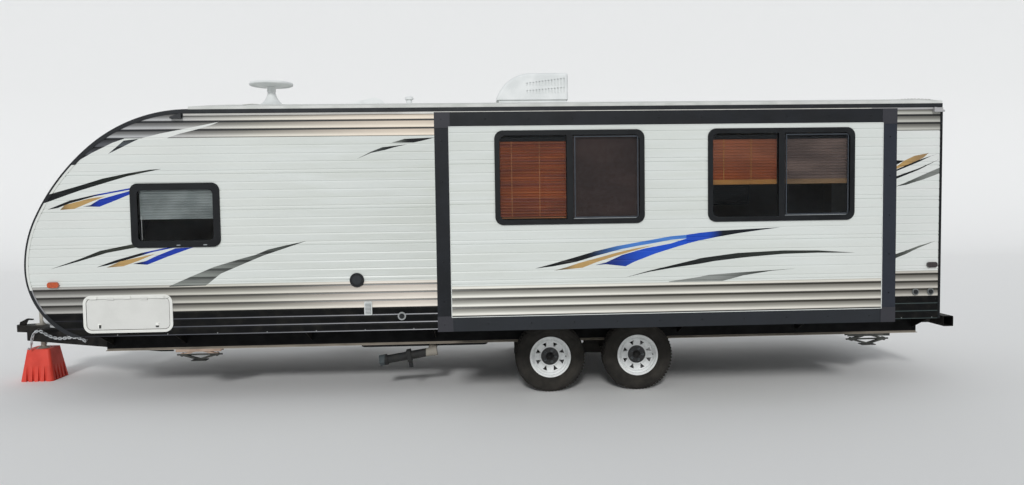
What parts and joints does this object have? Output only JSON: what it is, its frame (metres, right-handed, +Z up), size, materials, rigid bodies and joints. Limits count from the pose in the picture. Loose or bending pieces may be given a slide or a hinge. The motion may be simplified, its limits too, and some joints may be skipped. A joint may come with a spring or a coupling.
{
  "type": "travel trailer caravan",
  "caption": "Two-axle travel caravan with a rounded nose, ribbed siding, an extended slide-out room, a ball coupler and a tongue jack.",
  "frame": {"origin": "centre of the hitch ball in the coupler", "axes": "+X back along the trailer, -Y the road side with the slide-out, +Z up"},
  "size_m": [9.5269, 3.466, 3.1452],
  "materials": {
    "chassis_paint": "black chassis paint",
    "jack_steel": "zinc plated steel",
    "red_plastic": "moulded red plastic",
    "tyre": "black rubber",
    "wheel_white": "white painted steel",
    "white_panel": "white panel",
    "siding": "white and silver ribbed aluminium",
    "roof_membrane": "white membrane",
    "floor_board": "plywood with black underside",
    "black_trim": "satin black",
    "silver_rail": "mill aluminium",
    "charcoal": "charcoal",
    "glass": "tinted glass",
    "blind": "slatted blinds",
    "white_door": "white door skin",
    "step_steel": "black step",
    "white_plastic": "white moulded plastic",
    "black_plastic": "black plastic",
    "lamp_lens": "amber lenses in front, red behind",
    "bottle_paint": "white steel bottles"
  },
  "bodies": {
    "trailer": {"air_conditioner": "white_plastic", "antenna": "white_plastic", "awning": "silver_rail", "axles": "chassis_paint", "battery_box": "black_plastic", "body_siding": "siding", "bumper": "chassis_paint", "chassis_rails": "chassis_paint", "coupler": "chassis_paint", "cross_members": "chassis_paint", "door_frames": "white_door", "drawbar": "chassis_paint", "drip_rails": "silver_rail", "edge_trim": "black_trim", "floor": "floor_board", "grab_handle": "white_door", "hangers": "chassis_paint", "jack_block": "red_plastic", "kerb_wall": "white_panel", "kerb_wheel_housing": "black_trim", "lamps": "lamp_lens", "nose_wall": "white_panel", "propane_bottles": "bottle_paint", "rear_wall": "white_panel", "road_wall": "white_panel", "road_wheel_housing": "black_trim", "roof": "roof_membrane", "roof_vents": "white_plastic", "safety_chains": "jack_steel", "side_fittings": "black_plastic", "springs": "chassis_paint", "stabilisers": "chassis_paint", "tongue_jack": "jack_steel", "waste_tank": "black_plastic", "window_blinds": "blind", "window_frames": "black_trim", "window_glass": "glass"},
    "slide_out": {"slide_room": "white_panel", "slide_face": "white_panel", "slide_siding": "siding", "slide_fascia": "charcoal", "slide_window_frames": "black_trim", "slide_window_glass": "glass", "slide_blinds": "blind"},
    "door": {"entry_door": "white_door", "entry_door_glass": "glass"},
    "road_hatch": {"road_cargo_door": "white_door"},
    "kerb_hatch": {"kerb_cargo_door": "white_door"},
    "step": {"entry_step": "step_steel"},
    "road_front_wheel": {"road_front_tyre": "tyre", "road_front_rim": "wheel_white"},
    "road_rear_wheel": {"road_rear_tyre": "tyre", "road_rear_rim": "wheel_white"},
    "kerb_front_wheel": {"kerb_front_tyre": "tyre", "kerb_front_rim": "wheel_white"},
    "kerb_rear_wheel": {"kerb_rear_tyre": "tyre", "kerb_rear_rim": "wheel_white"}
  },
  "joints": [
    {"name": "road_front_wheel_spin", "type": "hinge", "parent": "trailer", "child": "road_front_wheel", "pos_m": [5.531, -1.085, -0.1985], "axis": [0, 1, 0], "continuous": true},
    {"name": "road_rear_wheel_spin", "type": "hinge", "parent": "trailer", "child": "road_rear_wheel", "pos_m": [6.369, -1.085, -0.1985], "axis": [0, 1, 0], "continuous": true},
    {"name": "kerb_front_wheel_spin", "type": "hinge", "parent": "trailer", "child": "kerb_front_wheel", "pos_m": [5.531, 1.085, -0.1985], "axis": [0, 1, 0], "continuous": true},
    {"name": "kerb_rear_wheel_spin", "type": "hinge", "parent": "trailer", "child": "kerb_rear_wheel", "pos_m": [6.369, 1.085, -0.1985], "axis": [0, 1, 0], "continuous": true},
    {"name": "slide_travel", "type": "slide", "parent": "trailer", "child": "slide_out", "axis": [0, 1, 0], "range_m": [0, 0.766]},
    {"name": "door_hinge", "type": "hinge", "parent": "trailer", "child": "door", "pos_m": [3.058, 1.235, 1.07], "axis": [0, 0, 1], "range_deg": [0, 170]},
    {"name": "road_hatch_hinge", "type": "hinge", "parent": "trailer", "child": "road_hatch", "pos_m": [1.662, -1.235, 0.453], "axis": [-1, 0, 0], "range_deg": [0, 170]},
    {"name": "kerb_hatch_hinge", "type": "hinge", "parent": "trailer", "child": "kerb_hatch", "pos_m": [1.662, 1.235, 0.453], "axis": [1, 0, 0], "range_deg": [0, 170]},
    {"name": "step_flip", "type": "hinge", "parent": "trailer", "child": "step", "pos_m": [3.39, 1.195, -0.1425], "axis": [1, 0, 0], "range_deg": [0, 90]}
  ]
}
